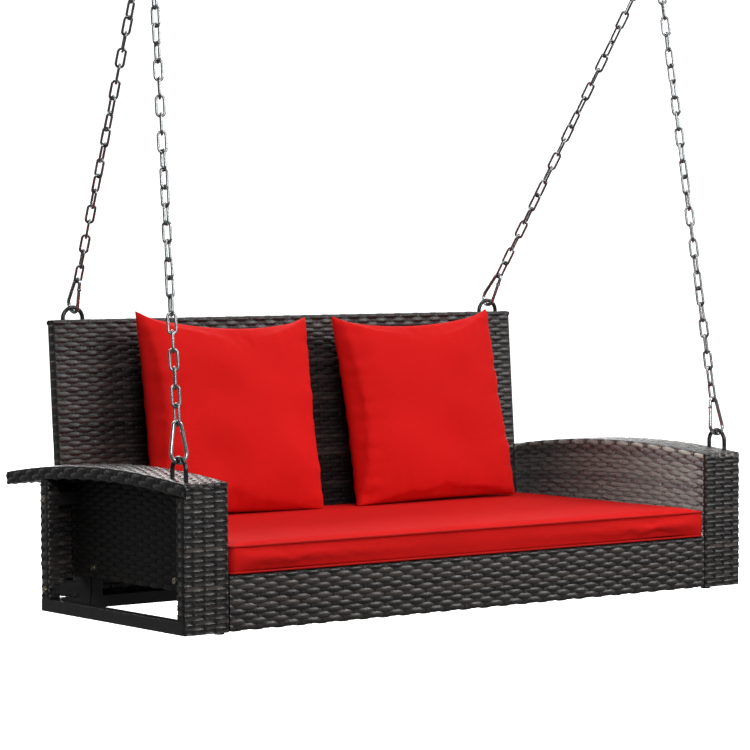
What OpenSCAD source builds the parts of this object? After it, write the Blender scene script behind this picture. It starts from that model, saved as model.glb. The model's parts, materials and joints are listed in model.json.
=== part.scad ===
// Two-seat hanging porch swing: woven seat with arms and back on a steel tube frame,
// three loose cushions, four chains with snap hooks, and two ceiling eyes.
// The seat is drawn level, front face at y = 0 and underside at z = 0, then turned by
// hang_tilt about the chain meeting points, where it hangs in balance.

/* [Seat] */
// Overall width across both arms
seat_w = 1270; // [1100:10:1500]
// Width of one arm
arm_w = 91; // [85:1:110]
// Depth of the base frame, front face to rear post
base_d = 473; // [440:1:500]
// Height of the arm at its front face
arm_front_h = 256; // [240:1:280]
// Height of the armrest at its rear end
arm_rear_h = 245; // [235:1:270]
// Length of the armrest, front to back
armrest_l = 596; // [590:1:640]
// Rise of the armrest's curve above its chord
armrest_rise = 19.5; // [12:0.5:30]
// Height of the woven seat deck, under the cushion
deck_h = 97; // [90:1:110]
// Thickness of the seat cushion
seat_cushion_t = 52; // [40:1:60]

/* [Back] */
// Slant height of the back panel's top edge
back_top = 521; // [480:1:600]
// Lean of the back panel, in degrees from the seat's own upright
back_lean = 4.04; // [3:0.1:6]
// Width of one back cushion
pillow_w = 400; // [360:5:420]
// Height of one back cushion
pillow_h = 376; // [340:4:400]
// Thickness of one back cushion at its middle
pillow_t = 100; // [90:1:104]

/* [Frame material] */
// Side of the square steel tube
tube = 22; // [20:1:24]
// Wall of the square steel tube
tube_wall = 1.2; // [1:0.1:2]
// Thickness of the woven skin
weave = 2; // [1.5:0.1:2.5]

/* [Hanging] */
// Tilt at which the seat hangs in balance, in degrees
hang_tilt = 10.23; // [0:0.01:15]
// Wire diameter of the chain
chain_wire = 4.8; // [4:0.1:5]
// Inner width of a chain link
link_gap = 8.8; // [8:0.1:10]
// Rod diameter of the hanging loops
loop_rod = 8; // [6:0.5:9]
// Rod diameter of a snap hook
hook_rod = 7; // [6:0.5:7]

/* [Hidden] */

X = [1, 0, 0];
Y = [0, 1, 0];

// Clearance left where two tubes are welded end to face
weld_gap = 0.1;
// The same under the sloping armrest, where the tube's own slope takes part of it
arc_gap = 0.6;
half_w = seat_w / 2;
inner_x = half_w - arm_w;
tube_in_x = inner_x + weave;
tube_out_x = half_w - weave - tube;
tie_x = tube_in_x + tube + weld_gap;
tie_l = tube_out_x - tube_in_x - tube - 2 * weld_gap;
front_y = weave;
mid_y = base_d - weave - tube;
rear_y = base_d + 89;
side_end_y = rear_y + tube + weave;
side_low_z = 60;
lower_rail_z = side_low_z + weave;

// The armrest's top is an arc in the Y-Z plane through its front and rear heights
chord = norm([armrest_l, arm_front_h - arm_rear_h]);
arc_r = chord * chord / 8 / armrest_rise + armrest_rise / 2;
chord_dir = atan2(arm_front_h - arm_rear_h, armrest_l);
arc_y = armrest_l / 2 - (arc_r - armrest_rise) * sin(chord_dir);
arc_z = (arm_front_h + arm_rear_h) / 2 - (arc_r - armrest_rise) * cos(chord_dir);
function arc_top(y) = arc_z + sqrt(arc_r * arc_r - (y - arc_y) * (y - arc_y));
band = tube + 2 * weave;

// Seat frame and aprons
seat_x = inner_x - 2;
seat_rail_z = deck_h - weave - tube;
seat_rear_y = 524;
bay_x = 159;
strut_xs = [-seat_x, -bay_x - tube, bay_x, seat_x - tube];

// Back panel: its own frame of reference starts at the foot of its front face
back_y = 544.5;
back_x = inner_x - 4;
back_low = 12;
back_rail_z = 73;
back_bolt_xs = [-300, 0, 300];

// Bolts: [y, z] of those along X, and the sizes of an M6 bolt
bolt_r = 3;
bolt_hole_r = 3.25;
bolt_head_r = 5.2;
bolt_head_h = 3;
washer_r = 6.5;
washer_t = 1;
post_bolts = [[mid_y + tube / 2, 39], [mid_y + tube / 2, 202]];
seat_bolts = [[130, 78.5], [400, 78.5]];
side_bolts = [[571, 200], [569, 110]];

// Hanging loops and the points where the chains of one side meet
loop_r = 21;
front_loop = [615, 44, 296];
rear_loop = [491, 594, 541];
meet = [580, 178, 1225];

// Snap hook: centre-line radii of its wide and narrow ends, and their spacing
wide_r = 15.5;
narrow_r = 8;
hook_l = 45.5;
hook_slant = asin((wide_r - narrow_r) / hook_l);
leg_l = hook_l * cos(hook_slant);
pin_at = 10.5;
stub_l = 6.8;
nose_at = leg_l - 6.4;
gate_r = hook_rod / 2 - 0.1;
pin_r = 1.2;
tang_t = 2.6;
gate_slot = 3;
tongue_t = 2;
tongue_l = 3.5;
// How far a leg runs into the bend at its end
joint_lap = 0.3;

// Chains: number of links, and the slack left between two links
front_links = 28;
rear_links = 23;
link_slack = 0.2;
twist_swing = 33;

// Plastic glides under the posts
glide_r = 9;
glide_h = 3;

// Ceiling fittings
plate_l = 90;
plate_w = 50;
plate_t = 5;
plate_rise = 30;
plate_hole_r = 3.25;
plate_hole_x = 35;
plate_hole_y = 15;
eye_half = 7;
eye_bend = 8;

// Loose cushions
cushion_clear = 0.6;
seat_cushion_d = 546;
// Each back cushion's middle, and its turn, lean and roll
pillow_places = [[[-202, 499, 347.5], 1.5, 12, 3], [[255, 499, 342], 1, 11.5, -1]];

// The seat's place: origin at the bottom centre of everything, with +Z up
back_corner_low = back_point([band, back_low]);
back_corner_top = back_point([band, back_top]);
function back_point(p) = [
    back_y + p[0] * cos(back_lean) + p[1] * sin(back_lean),
    -p[0] * sin(back_lean) + p[1] * cos(back_lean)
];
function tilted(p) = [
    (p[0] - meet[1]) * cos(hang_tilt) + (p[1] - meet[2]) * sin(hang_tilt),
    -(p[0] - meet[1]) * sin(hang_tilt) + (p[1] - meet[2]) * cos(hang_tilt)
];
meet_y = -(tilted([0, 0])[0] + tilted(back_corner_top)[0]) / 2;
meet_z = -min(tilted(back_corner_low)[1], tilted([mid_y + tube / 2 + glide_r, -glide_h])[1]);
axle_z = meet_z + hook_l;

/* ---- helpers ---- */

function unit(v) = v / norm(v);

// Puts children at p with +Z along dir and +X as near to side as it can be
module aim(p, dir, side) {
    z = unit(dir);
    x = unit(side - (side * z) * z);
    y = cross(z, x);
    multmatrix([[x[0], y[0], z[0], p[0]], [x[1], y[1], z[1], p[1]], [x[2], y[2], z[2], p[2]]])
        children();
}

// The seat as it hangs
module hang() {
    translate([0, meet_y, meet_z]) rotate([-hang_tilt, 0, 0]) translate([0, -meet[1], -meet[2]])
        children();
}

// Everything is drawn on the +X side, and mirrored for the left
module on(side) {
    if (side == "left") mirror([1, 0, 0]) children();
    else children();
}

// Square tube of length l from corner p, running along axis 0, 1 or 2, with open ends
module square_tube(p, l, axis) {
    size = [for (i = [0:2]) i == axis ? l : tube];
    bore = [for (i = [0:2]) i == axis ? l + 2 : tube - 2 * tube_wall];
    shift = [for (i = [0:2]) i == axis ? -1 : tube_wall];
    translate(p) difference() {
        cube(size);
        translate(shift) cube(bore);
    }
}

// Solid of everything between two radii of the armrest's arc, x0 to x1 and y0 to y1
module arc_band(x0, x1, y0, y1, depth_from, depth_to) {
    intersection() {
        translate([x0, arc_y, arc_z]) rotate([90, 0, 90]) rotate_extrude(angle = 24, start = 78, $fn = 960)
            translate([arc_r - depth_to, 0]) square([depth_to - depth_from, x1 - x0]);
        translate([x0 - 1, y0, 0]) cube([x1 - x0 + 2, y1 - y0, 400]);
    }
}

// A curved armrest tube
module arc_tube(x0) {
    difference() {
        arc_band(x0, x0 + tube, weave, armrest_l - weave, weave, weave + tube);
        arc_band(x0 + tube_wall, x0 + tube - tube_wall, weave - 1, armrest_l,
            weave + tube_wall, weave + tube - tube_wall);
    }
}

// Tie between the two curved tubes, from y0 back
module arc_tie(y0) {
    difference() {
        arc_band(tie_x, tie_x + tie_l, y0, y0 + tube, weave + 0.1, weave + tube - 0.1);
        translate([tie_x - 1, y0 + tube_wall, arc_top(y0 + tube / 2) - weave - tube / 2 - 7])
            cube([tie_l + 2, tube - 2 * tube_wall, 14]);
    }
}

// Holes along X at each [y, z] of a list
module x_holes(places, x0, x1, r = bolt_hole_r) {
    for (p = places) translate([x0, p[0], p[1]]) rotate([0, 90, 0]) cylinder(h = x1 - x0, r = r, $fn = 32);
}

// M6 bolt with its washer: the washer's seat is at z = 0 and the shank runs down
module bolt(shank) {
    difference() {
        union() {
            cylinder(h = washer_t, r = washer_r, $fn = 32);
            translate([0, 0, washer_t]) cylinder(h = bolt_head_h, r = bolt_head_r, $fn = 32);
            translate([0, 0, -shank]) cylinder(h = shank + 0.5, r = bolt_r, $fn = 32);
        }
        translate([0, 0, washer_t + 1]) cylinder(h = bolt_head_h, r = 2.3, $fn = 6);
    }
}

/* ---- arms ---- */

module arm_frame() {
    post_top = arc_top(0) - band - 0.3;
    mid_top = arc_top(mid_y + tube) - tube - weave - arc_gap;
    color("#1c1c1e") difference() {
        union() {
            square_tube([tube_out_x, front_y, 0], post_top, 2);
            square_tube([tube_in_x, front_y, 0], post_top, 2);
            square_tube([tube_out_x, front_y + tube + weld_gap, 0], mid_y - front_y - weld_gap, 1);
            square_tube([tie_x, front_y, 0], tie_l, 0);
            square_tube([tie_x, mid_y, 0], tie_l, 0);
            square_tube([tube_in_x, front_y + tube + weld_gap, lower_rail_z],
                mid_y - front_y - tube - 2 * weld_gap, 1);
            square_tube([tube_in_x, mid_y + tube + weld_gap, lower_rail_z],
                rear_y - mid_y - tube - 2 * weld_gap, 1);
            square_tube([tube_in_x, mid_y, 0], mid_top, 2);
            square_tube([tube_in_x, rear_y, lower_rail_z],
                arc_top(rear_y + tube) - tube - weave - lower_rail_z - arc_gap, 2);
            arc_tube(tube_in_x);
            arc_tube(tube_out_x);
            arc_tie(front_y);
            arc_tie(armrest_l - weave - tube);
            for (b = post_bolts) square_tube([tie_x, mid_y, b[1] - tube / 2], tie_l, 0);
        }
        x_holes(concat(seat_bolts, side_bolts), tube_in_x - 1, tube_in_x + tube + 1);
    }
}

module rear_post() {
    color("#1c1c1e") difference() {
        square_tube([tube_out_x, mid_y, tube + weld_gap],
            arc_top(mid_y + tube) - 2 * tube - weave - weld_gap - arc_gap, 2);
        x_holes(post_bolts, tube_out_x - 1, half_w);
    }
}

// Woven skin over the top, the outer side and the rear end of the armrest
module armrest_weave() {
    color("#3a302c") difference() {
        arc_band(inner_x + weave, half_w, 0, armrest_l, 0, band);
        arc_band(inner_x, half_w - weave, weave, armrest_l - weave, weave, band - weave);
        arc_band(tube_in_x + tube, tube_out_x, weave, mid_y, weave, band + 5);
        arc_band(inner_x, tube_in_x + tube, weave, armrest_l - weave, weave, band + 5);
        arc_band(inner_x, half_w + 1, -1, weave, weave, band + 5);
        arc_band(tube_out_x - weave, half_w - weave, 0, band, weave, band + 5);
        arc_band(tube_out_x - weave, half_w + 1, mid_y - weave, base_d, band - weave, band + 5);
        for (y = [front_loop[1] - loop_r, front_loop[1] + loop_r])
            translate([front_loop[0], y, arc_top(y) - 10]) cylinder(h = 20, r = loop_rod / 2 + 0.6, $fn = 32);
    }
}

module arm_side_weave() {
    color("#5a4a42") difference() {
        intersection() {
            translate([inner_x, 0, side_low_z]) cube([weave, side_end_y, 300]);
            arc_band(inner_x - 1, inner_x + weave + 1, 0, armrest_l, 0, 260);
        }
        x_holes(concat(seat_bolts, side_bolts), inner_x - 1, inner_x + weave + 1);
    }
}

// Woven skin over the hollow's side of the inner tubes, either side of the rear post
module arm_lining_weave() {
    x = tube_in_x + tube + 0.1;
    color("#33302f") difference() {
        arc_band(x, x + weave, front_y + tube + 0.2, side_end_y - weave, band + 0.3, 260);
        translate([x - 1, 0, -1]) cube([weave + 2, 700, side_low_z + 1]);
        translate([x - 1, mid_y - 0.2, 0]) cube([weave + 2, tube + weave + 0.4, 300]);
        x_holes(concat(seat_bolts, side_bolts), x - 1, x + weave + 1, washer_r + 0.5);
    }
}

module arm_front_weave() {
    skin_top = arc_top(0) - weave - 0.3;
    wrap_top = arc_top(0) - band - 0.3;
    color("#33302f") {
        translate([inner_x + weave, 0, 0]) cube([arm_w - weave, weave, skin_top]);
        translate([inner_x, 0, 0]) cube([weave, band, side_low_z - 0.2]);
        translate([half_w - weave, weave, 0]) cube([weave, tube, wrap_top]);
        translate([tube_out_x - weave, band - weave, tube + weave])
            cube([tube + 2 * weave, weave, wrap_top - tube - weave]);
    }
}

// Woven skin of the arm's rear face, with a wrap round the outer post
module arm_rear_weave() {
    skin_top = arc_top(base_d) - band - 0.6;
    color("#33302f") difference() {
        union() {
            translate([tie_x + 0.1, base_d - weave, side_low_z])
                cube([half_w - tie_x - 0.1, weave, skin_top - side_low_z]);
            translate([tube_out_x, base_d - weave, tube + 0.4])
                cube([tube + weave, weave, side_low_z - tube]);
            translate([half_w - weave, mid_y - weave, tube + 0.2])
                cube([weave, band, skin_top - tube - 0.2]);
            translate([tube_out_x, mid_y - weave, tube + 0.2])
                cube([tube + weave, weave, skin_top - tube - 0.2]);
        }
        x_holes(post_bolts, half_w - weave - 1, half_w + 1, washer_r + 0.5);
    }
}

module arm_bolts() {
    color("#b9ab83") {
        for (p = post_bolts)
            translate([half_w - weave, p[0], p[1]]) rotate([0, 90, 0]) bolt(33);
        for (p = concat(seat_bolts, side_bolts))
            translate([tube_in_x + tube, p[0], p[1]]) rotate([0, 90, 0]) bolt(43);
    }
}

module rail_plugs() {
    color("#111111") for (side = ["left", "right"]) on(side)
        translate([tube_out_x, mid_y + tube + weld_gap, 0]) {
            cube([tube, weave, tube]);
            translate([tube_wall + 0.1, -8, tube_wall + 0.1])
                cube([tube - 2 * tube_wall - 0.2, 8.5, tube - 2 * tube_wall - 0.2]);
        }
}

module foot_glides() {
    color("#111111") for (side = ["left", "right"], y = [front_y, mid_y]) on(side)
        translate([tube_in_x + tube / 2, y + tube / 2, -glide_h]) cylinder(h = glide_h, r = glide_r, $fn = 32);
}

/* ---- seat ---- */

module seat_frame() {
    side_l = seat_rear_y - front_y - tube - 2 * weld_gap;
    color("#1c1c1e") difference() {
        union() {
            square_tube([-seat_x, front_y, seat_rail_z], 2 * seat_x, 0);
            square_tube([-seat_x, seat_rear_y, seat_rail_z], 2 * seat_x, 0);
            for (x = strut_xs) square_tube([x, front_y + tube + weld_gap, seat_rail_z], side_l, 1);
        }
        for (side = ["left", "right"]) on(side) x_holes(seat_bolts, seat_x - 6, seat_x + 1);
        in_back() back_holes();
    }
}

module seat_deck_weave() {
    color("#4a3f39") translate([-inner_x + 1, 0, deck_h - weave]) cube([2 * inner_x - 2, 547, weave]);
}

module apron_frame() {
    color("#1c1c1e") {
        square_tube([-seat_x, front_y, weave], 2 * seat_x, 0);
        for (x = strut_xs) square_tube([x, front_y, weave + tube + weld_gap],
            seat_rail_z - weave - tube - 2 * weld_gap, 2);
    }
}

module apron_weave() {
    w = 2 * inner_x - 2;
    color("#33302f") translate([-w / 2, 0, 0]) {
        cube([w, weave, deck_h - weave - 0.1]);
        cube([w, band, weave]);
        translate([0, band - weave, 0]) cube([w, weave, band]);
    }
}

module rear_stretcher() {
    color("#1c1c1e") {
        square_tube([-inner_x, mid_y, 0], 2 * inner_x, 0);
        for (x = strut_xs) square_tube([x, mid_y, tube + weld_gap],
            seat_rail_z - tube - 2 * weld_gap, 2);
    }
}

module rear_apron_weave() {
    color("#4a3f39") translate([-inner_x + 1, mid_y + tube + 0.2, tube])
        cube([2 * inner_x - 2, weave, seat_rail_z - tube - 0.2]);
}

/* ---- back panel ---- */

module in_back() {
    translate([0, back_y, 0]) rotate([-back_lean, 0, 0]) children();
}

// Bolt holes that join the back panel to the seat frame's rear rail
module back_holes() {
    for (x = back_bolt_xs) translate([x, band + 1, back_rail_z + tube / 2])
        rotate([90, 0, 0]) cylinder(h = 45, r = bolt_hole_r, $fn = 32);
}

module back_frame() {
    post_x = back_x - weave - tube;
    rail_l = 2 * post_x - 2 * weld_gap;
    color("#1c1c1e") difference() {
        in_back() difference() {
            union() {
                for (x = [-post_x - tube, post_x])
                    square_tube([x, weave, back_low + weave], back_top - back_low - 2 * weave, 2);
                for (z = [back_low + weave, back_rail_z, back_top - weave - tube])
                    square_tube([-post_x + weld_gap, weave, z], rail_l, 0);
                for (x = [-bay_x - tube, bay_x])
                    square_tube([x, weave, back_rail_z + tube + weld_gap],
                        back_top - back_rail_z - 2 * tube - weave - 2 * weld_gap, 2);
            }
            back_holes();
        }
        for (side = ["left", "right"]) on(side) x_holes(side_bolts, back_x - 6, back_x);
    }
}

// Woven sleeve over both faces, the sides and the top of the back panel
module back_weave() {
    color("#3f352f") difference() {
        in_back() difference() {
            translate([-back_x, 0, back_low]) cube([2 * back_x, band, back_top - back_low]);
            translate([-back_x + weave, weave, back_low - 1])
                cube([2 * back_x - 2 * weave, tube, back_top - back_low + 1 - weave]);
            back_holes();
        }
        for (side = ["left", "right"]) on(side) {
            x_holes(side_bolts, back_x - 6, back_x + 1);
            for (x = [rear_loop[0] - loop_r, rear_loop[0] + loop_r])
                translate([x, rear_loop[1], 510]) cylinder(h = 20, r = loop_rod / 2 + 0.6, $fn = 32);
        }
    }
}

module back_bolts() {
    color("#b9ab83") in_back() for (x = back_bolt_xs)
        translate([x, band, back_rail_z + tube / 2]) rotate([-90, 0, 0]) bolt(40);
}

/* ---- hanging loops, snap hooks and chains ---- */

// Upright loop of round rod with its top rod's middle at the origin, opening along X.
// legs gives the length of the leg at -X and of the one at +X
module loop(legs) {
    color("#141416") {
        translate([0, 0, -loop_r]) rotate([90, 0, 0]) rotate_extrude(angle = 180, $fn = 72)
            translate([loop_r, 0]) circle(r = loop_rod / 2, $fn = 32);
        for (i = [0, 1])
            translate([(2 * i - 1) * loop_r, 0, -loop_r - legs[i]])
                cylinder(h = legs[i] + joint_lap, r = loop_rod / 2 - 0.05, $fn = 32);
    }
}

// The legs end on the tube under the woven skin, where they are welded
module front_loop() {
    legs = [for (i = [-1, 1]) front_loop[2] - loop_r + weave - 0.15
        - arc_top(front_loop[1] + i * loop_r + loop_rod / 2)];
    translate(front_loop) rotate([0, 0, 90]) loop(legs);
}

module rear_loop() {
    near_y = rear_loop[1] - loop_rod / 2;
    rail_top = ((back_top - weave) - (near_y - back_y) * sin(back_lean)) / cos(back_lean);
    leg = rear_loop[2] - loop_r - rail_top - 0.15;
    translate(rear_loop) loop([leg, leg]);
}

// Snap hook rod: arc of centre-line radius r about [0, z], from angle a over sweep
module hook_arc(r, z, a, sweep) {
    translate([0, 0, z]) rotate([90, 0, 0]) rotate_extrude(angle = sweep, start = a, $fn = 96)
        translate([r, 0]) circle(r = hook_rod / 2, $fn = 32);
}

// Down the leg on side s: -1 is the gate's leg, +1 the plain one
module down_leg(s) {
    translate([s * narrow_r * cos(hook_slant), 0, hook_l + narrow_r * sin(hook_slant)])
        rotate([0, 180 - s * hook_slant, 0]) children();
}

module snap_hook() {
    r = hook_rod / 2;
    color("#c4c7c9") {
        hook_arc(wide_r, 0, 180 - hook_slant, 180 + 2 * hook_slant);
        hook_arc(narrow_r, hook_l, hook_slant, 180 - 2 * hook_slant);
        down_leg(1) translate([0, 0, -joint_lap]) cylinder(h = leg_l + 2 * joint_lap, r = r - 0.05, $fn = 32);
        down_leg(-1) {
            translate([0, 0, -joint_lap]) cylinder(h = stub_l + joint_lap, r = r - 0.05, $fn = 32);
            difference() {
                translate([-2.6, -tang_t / 2, stub_l - 0.5]) cube([5.2, tang_t, pin_at - stub_l + 3]);
                gate_pin(0.05, 8);
            }
            translate([0, 0, nose_at]) cylinder(h = leg_l - nose_at + joint_lap, r = r - 0.05, $fn = 32);
            translate([-3, -tongue_t / 2, nose_at - tongue_l]) cube([6, tongue_t, tongue_l + 1]);
        }
    }
}

module gate_pin(clearance = 0, l = 6.6) {
    translate([0, l / 2, pin_at]) rotate([90, 0, 0])
        cylinder(h = l, r = pin_r + clearance, $fn = 32);
}

module gate() {
    color("#d2d5d6") down_leg(-1) difference() {
        union() {
            translate([0, 0, pin_at]) cylinder(h = nose_at - 0.4 - pin_at, r = gate_r, $fn = 32);
            translate([0, 3, pin_at]) rotate([90, 0, 0]) cylinder(h = 6, r = gate_r - 0.2, $fn = 32);
        }
        translate([-4, -gate_slot / 2, 0]) cube([8, gate_slot, pin_at + 4]);
        translate([-4, -tongue_t / 2 - 0.2, nose_at - tongue_l - 0.4]) cube([8, tongue_t + 0.4, 8]);
        gate_pin(0.05, 8);
    }
}

// Middle of a chain's end rod in the top snap hook, whose plane is square to X
function chain_end(loop_at) = meet
    - (wide_r - hook_rod / 2 - chain_wire / 2 - 0.3) * unit([0, meet[1] - loop_at[1], meet[2] - loop_at[2]]);

// The snap hook that hangs on a loop, in line with its chain
rod_to_wide = wide_r - hook_rod / 2 - loop_rod / 2 - 0.15;
module on_loop(loop_at, side) {
    dir = unit(chain_end(loop_at) - loop_at);
    aim(loop_at + rod_to_wide * dir, dir, side) children();
}

// A link from its lower rod's centre-line at z = 0, in the X-Z plane
module link(inner_l) {
    r = (link_gap + chain_wire) / 2;
    straight = inner_l - link_gap;
    for (end = [0, 1])
        translate([0, 0, r + end * straight]) rotate([90, 0, 0])
            rotate_extrude(angle = 180, start = 180 - 180 * end, $fn = 48)
                translate([r, 0]) circle(r = chain_wire / 2, $fn = 20);
    for (x = [-r, r]) translate([x, 0, r]) cylinder(h = straight, r = chain_wire / 2, $fn = 20);
}

// Straight chain of n links from a snap hook on a loop up to the meeting point. first is the
// turn of its lowest link, and a slow twist runs along it and back twice
module chain(loop_at, side, n, first) {
    start = rod_to_wide + hook_l + narrow_r - hook_rod / 2 - chain_wire / 2 - 0.1;
    run = norm(chain_end(loop_at) - loop_at) - start;
    inner_l = (run - link_slack - chain_wire) / n + link_slack;
    dir = unit(chain_end(loop_at) - loop_at);
    color("#aeb4b8") aim(loop_at + start * dir, dir, side) for (i = [0:n - 1])
        translate([0, 0, i * (inner_l - link_slack)])
            rotate([0, 0, first + 90 * i + twist_swing * sin(720 * i / (n - 1))])
                link(inner_l);
}

module gate_pins() {
    color("#8d9194") for (side = ["left", "right"]) {
        hang() on(side) on_loop(front_loop, X) down_leg(-1) gate_pin();
        hang() on(side) on_loop(rear_loop, Y) down_leg(-1) gate_pin();
        on(side) at_meeting() down_leg(-1) gate_pin();
    }
}

/* ---- ceiling fittings, level whatever the tilt ---- */

module at_meeting() {
    translate([meet[0], meet_y, meet_z]) rotate([0, 0, 90]) children();
}

module ceiling_plate() {
    color("#c4c7c9") translate([meet[0], meet_y, axle_z + plate_rise]) linear_extrude(plate_t)
        difference() {
            union() {
                square([plate_l, plate_w - 12], center = true);
                square([plate_l - 12, plate_w], center = true);
                for (x = [-1, 1], y = [-1, 1])
                    translate([x * (plate_l / 2 - 6), y * (plate_w / 2 - 6)]) circle(r = 6, $fn = 32);
            }
            for (x = [-1, 1], y = [-1, 1])
                translate([x * plate_hole_x, y * plate_hole_y]) circle(r = plate_hole_r, $fn = 32);
        }
}

// Staple of round rod under the plate; its level rod is the axle that the top hook turns on
module ceiling_eye() {
    r = loop_rod / 2;
    color("#c4c7c9") translate([meet[0], meet_y, axle_z]) {
        translate([-eye_half, 0, 0]) rotate([0, 90, 0]) cylinder(h = 2 * eye_half, r = r, $fn = 32);
        for (s = [0, 1]) mirror([s, 0, 0]) {
            translate([eye_half, 0, eye_bend]) rotate([90, 0, 0])
                rotate_extrude(angle = 90, start = 270, $fn = 72)
                    translate([eye_bend, 0]) circle(r = r, $fn = 32);
            translate([eye_half + eye_bend, 0, eye_bend])
                cylinder(h = plate_rise - eye_bend, r = r, $fn = 32);
        }
    }
}

/* ---- loose cushions ---- */

module seat_cushion() {
    w = 2 * inner_x - 6;
    color("#d3201d") translate([-w / 2, 0, deck_h + cushion_clear]) cube([w, seat_cushion_d, seat_cushion_t]);
}

// Thin at its seam, full at its middle
module back_cushion(i) {
    p = pillow_places[i];
    color("#d3201d") translate(p[0]) rotate([0, 0, p[1]]) rotate([-p[2], 0, 0]) rotate([0, p[3], 0]) hull() {
        cube([pillow_w, 18, pillow_h], center = true);
        cube([pillow_w * 0.62, pillow_t, pillow_h * 0.62], center = true);
    }
}

/* ---- one line for each node ---- */

hang() on("left") arm_frame();  // arm_frame_left
hang() on("right") arm_frame();  // arm_frame_right
hang() on("left") rear_post();  // rear_post_left
hang() on("right") rear_post();  // rear_post_right
hang() on("left") armrest_weave();  // armrest_weave_left
hang() on("right") armrest_weave();  // armrest_weave_right
hang() on("left") arm_side_weave();  // arm_side_weave_left
hang() on("right") arm_side_weave();  // arm_side_weave_right
hang() on("left") arm_lining_weave();  // arm_lining_weave_left
hang() on("right") arm_lining_weave();  // arm_lining_weave_right
hang() on("left") arm_front_weave();  // arm_front_weave_left
hang() on("right") arm_front_weave();  // arm_front_weave_right
hang() on("left") arm_rear_weave();  // arm_rear_weave_left
hang() on("right") arm_rear_weave();  // arm_rear_weave_right
hang() on("left") arm_bolts();  // arm_bolts_left
hang() on("right") arm_bolts();  // arm_bolts_right
hang() on("left") front_loop();  // front_loop_left
hang() on("right") front_loop();  // front_loop_right
hang() on("left") rear_loop();  // rear_loop_left
hang() on("right") rear_loop();  // rear_loop_right
hang() on("left") on_loop(front_loop, X) snap_hook();  // front_snap_hook_left
hang() on("right") on_loop(front_loop, X) snap_hook();  // front_snap_hook_right
hang() on("left") on_loop(rear_loop, Y) snap_hook();  // rear_snap_hook_left
hang() on("right") on_loop(rear_loop, Y) snap_hook();  // rear_snap_hook_right
on("left") at_meeting() snap_hook();  // top_snap_hook_left
on("right") at_meeting() snap_hook();  // top_snap_hook_right
hang() on("left") on_loop(front_loop, X) gate();  // front_gate_left
hang() on("right") on_loop(front_loop, X) gate();  // front_gate_right
hang() on("left") on_loop(rear_loop, Y) gate();  // rear_gate_left
hang() on("right") on_loop(rear_loop, Y) gate();  // rear_gate_right
on("left") at_meeting() gate();  // top_gate_left
on("right") at_meeting() gate();  // top_gate_right
hang() on("left") chain(front_loop, Y, front_links, 0);  // front_chain_left
hang() on("right") chain(front_loop, Y, front_links, 0);  // front_chain_right
hang() on("left") chain(rear_loop, X, rear_links, 0);  // rear_chain_left
hang() on("right") chain(rear_loop, X, rear_links, 0);  // rear_chain_right
on("left") ceiling_plate();  // ceiling_plate_left
on("right") ceiling_plate();  // ceiling_plate_right
on("left") ceiling_eye();  // ceiling_eye_left
on("right") ceiling_eye();  // ceiling_eye_right
hang() rail_plugs();
hang() foot_glides();
hang() seat_frame();
hang() seat_deck_weave();
hang() apron_frame();
hang() apron_weave();
hang() rear_stretcher();
hang() rear_apron_weave();
hang() back_frame();
hang() back_weave();
hang() back_bolts();
gate_pins();
hang() seat_cushion();
hang() back_cushion(0);  // back_cushion_left
hang() back_cushion(1);  // back_cushion_right
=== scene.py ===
import json
import math

import bpy
import numpy as np
from mathutils import Matrix, Vector

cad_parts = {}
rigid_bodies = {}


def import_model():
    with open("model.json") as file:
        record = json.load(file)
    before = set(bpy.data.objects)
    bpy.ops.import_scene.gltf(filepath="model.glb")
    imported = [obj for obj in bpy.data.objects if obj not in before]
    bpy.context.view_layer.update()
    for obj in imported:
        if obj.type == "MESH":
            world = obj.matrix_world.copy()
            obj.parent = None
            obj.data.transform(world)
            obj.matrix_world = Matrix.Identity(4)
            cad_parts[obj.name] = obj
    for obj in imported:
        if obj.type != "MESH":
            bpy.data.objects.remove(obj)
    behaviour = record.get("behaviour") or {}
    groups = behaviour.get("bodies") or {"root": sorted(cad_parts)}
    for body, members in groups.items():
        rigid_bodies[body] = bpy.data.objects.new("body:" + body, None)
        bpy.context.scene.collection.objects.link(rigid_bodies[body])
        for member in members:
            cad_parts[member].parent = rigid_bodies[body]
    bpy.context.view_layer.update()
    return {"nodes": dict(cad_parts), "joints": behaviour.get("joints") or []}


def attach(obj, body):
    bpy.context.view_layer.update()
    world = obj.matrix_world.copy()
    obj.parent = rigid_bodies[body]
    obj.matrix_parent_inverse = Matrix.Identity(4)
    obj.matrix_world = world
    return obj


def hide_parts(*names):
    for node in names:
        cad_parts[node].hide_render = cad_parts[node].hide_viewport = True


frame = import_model()
NODES = frame["nodes"]
JOINTS = {j["name"]: j for j in frame["joints"]}
MM = 0.001

# ---------------------------------------------------------------- where the seat hangs
# Pieces are modelled in the seat's own frame, in millimetres: level, front face at y = 0,
# underside at z = 0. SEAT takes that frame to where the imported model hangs.
AXLE = Vector(JOINTS["swing_hinge"]["pos_m"])
SLIDE = JOINTS["seat_cushion_slide"]["axis"]
TILT = math.atan2(SLIDE[2], -SLIDE[1])
MEET = (0.0, 178.0, 1225.0)
HOOK = 45.5
SEAT = (
    Matrix.Translation((0, AXLE.y, AXLE.z - HOOK * MM))
    @ Matrix.Rotation(-TILT, 4, "X")
    @ Matrix.Translation((0, -MEET[1] * MM, -MEET[2] * MM))
)

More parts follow.
